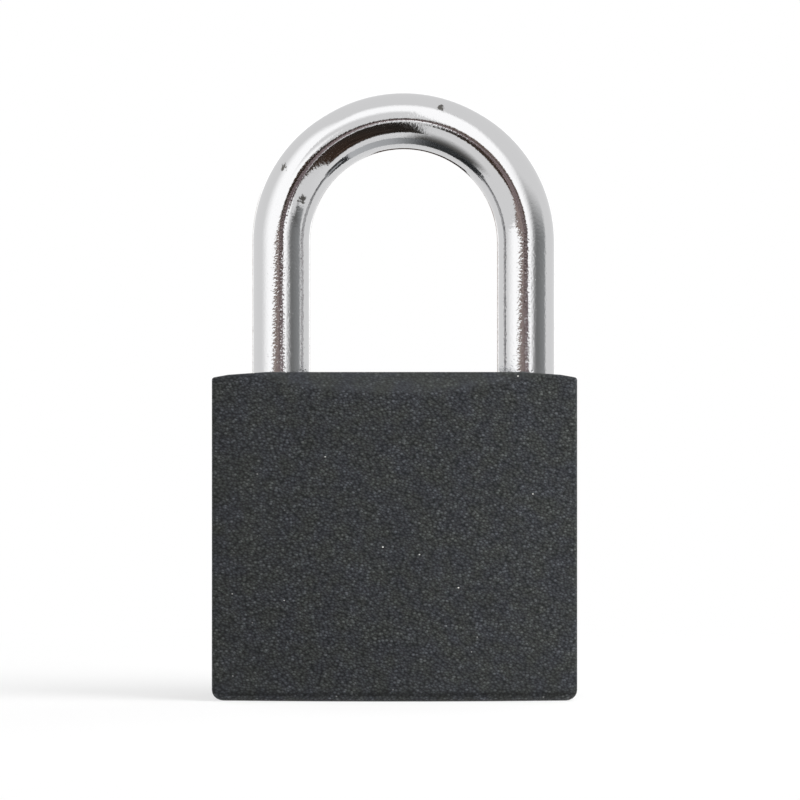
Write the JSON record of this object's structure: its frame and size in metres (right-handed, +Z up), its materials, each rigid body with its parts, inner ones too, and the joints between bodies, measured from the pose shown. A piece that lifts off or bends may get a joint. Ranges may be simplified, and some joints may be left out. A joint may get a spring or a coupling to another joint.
{
  "type": "padlock",
  "caption": "Keyed padlock with a barrelled painted iron body, a round chrome-plated shackle that lifts out at the toe, a turning pin-tumbler core and a sliding latch.",
  "frame": {"origin": "middle of the base", "axes": "+Z up along the legs of the shackle, +X to the right seen from the front, towards the long heel leg, front face towards -Y"},
  "size_m": [0.03, 0.0136, 0.0504],
  "materials": {
    "painted_iron": "fine sand texture, dark grey powder coat",
    "chromed_steel": "bright chrome plate over drawn rod, lightly pitted",
    "steel": "turned and ground steel",
    "spring_steel": "drawn wire",
    "brass": "turned brass, satin"
  },
  "bodies": {
    "case": {"body": "painted_iron", "heel_retaining_pin": "steel", "shackle_spring": "spring_steel", "latch_spring": "spring_steel", "latch_bore_plug": "steel", "plug_retaining_pin": "steel", "chamber_plugs": "brass", "pin_spring_1": "spring_steel", "pin_spring_2": "spring_steel", "pin_spring_3": "spring_steel", "pin_spring_4": "spring_steel"},
    "shackle": {"shackle": "chromed_steel"},
    "core": {"cylinder_plug": "brass", "drive_pin": "steel"},
    "latch": {"latch": "steel"},
    "driver_1": {"driver_pin_1": "brass"},
    "key_pin_1": {"key_pin_1": "brass"},
    "driver_2": {"driver_pin_2": "brass"},
    "key_pin_2": {"key_pin_2": "brass"},
    "driver_3": {"driver_pin_3": "brass"},
    "key_pin_3": {"key_pin_3": "brass"},
    "driver_4": {"driver_pin_4": "brass"},
    "key_pin_4": {"key_pin_4": "brass"}
  },
  "joints": [
    {"name": "shackle_lift", "type": "slide", "parent": "case", "child": "shackle", "axis": [0, 0, 1], "range_m": [0, 0.0112], "deforming": ["shackle_spring"]},
    {"name": "core_turn", "type": "hinge", "parent": "case", "child": "core", "pos_m": [0, 0, 0], "axis": [0, 0, -1], "range_deg": [0, 90]},
    {"name": "latch_slide", "type": "slide", "parent": "case", "child": "latch", "axis": [-1, 0, 0], "range_m": [0, 0.002], "deforming": ["latch_spring"]},
    {"name": "driver_1_slide", "type": "slide", "parent": "case", "child": "driver_1", "axis": [-1, 0, 0], "range_m": [0, 0.0016], "stiffness_N_per_m": 60, "springref_m": -0.003, "deforming": ["pin_spring_1"]},
    {"name": "key_pin_1_slide", "type": "slide", "parent": "core", "child": "key_pin_1", "axis": [0, 1, 0], "range_m": [0, 0.00092]},
    {"name": "driver_2_slide", "type": "slide", "parent": "case", "child": "driver_2", "axis": [-1, 0, 0], "range_m": [0, 0.0016], "stiffness_N_per_m": 60, "springref_m": -0.003, "deforming": ["pin_spring_2"]},
    {"name": "key_pin_2_slide", "type": "slide", "parent": "core", "child": "key_pin_2", "axis": [0, 1, 0], "range_m": [0, 0.00172]},
    {"name": "driver_3_slide", "type": "slide", "parent": "case", "child": "driver_3", "axis": [-1, 0, 0], "range_m": [0, 0.0016], "stiffness_N_per_m": 60, "springref_m": -0.003, "deforming": ["pin_spring_3"]},
    {"name": "key_pin_3_slide", "type": "slide", "parent": "core", "child": "key_pin_3", "axis": [0, 1, 0], "range_m": [0, 0.00052]},
    {"name": "driver_4_slide", "type": "slide", "parent": "case", "child": "driver_4", "axis": [-1, 0, 0], "range_m": [0, 0.0016], "stiffness_N_per_m": 60, "springref_m": -0.003, "deforming": ["pin_spring_4"]},
    {"name": "key_pin_4_slide", "type": "slide", "parent": "core", "child": "key_pin_4", "axis": [0, 1, 0], "range_m": [0, 0.00132]}
  ],
  "couplings": [
    {"joint": "core_turn", "follows": "latch_slide", "rad_per_m": 785.4}
  ]
}
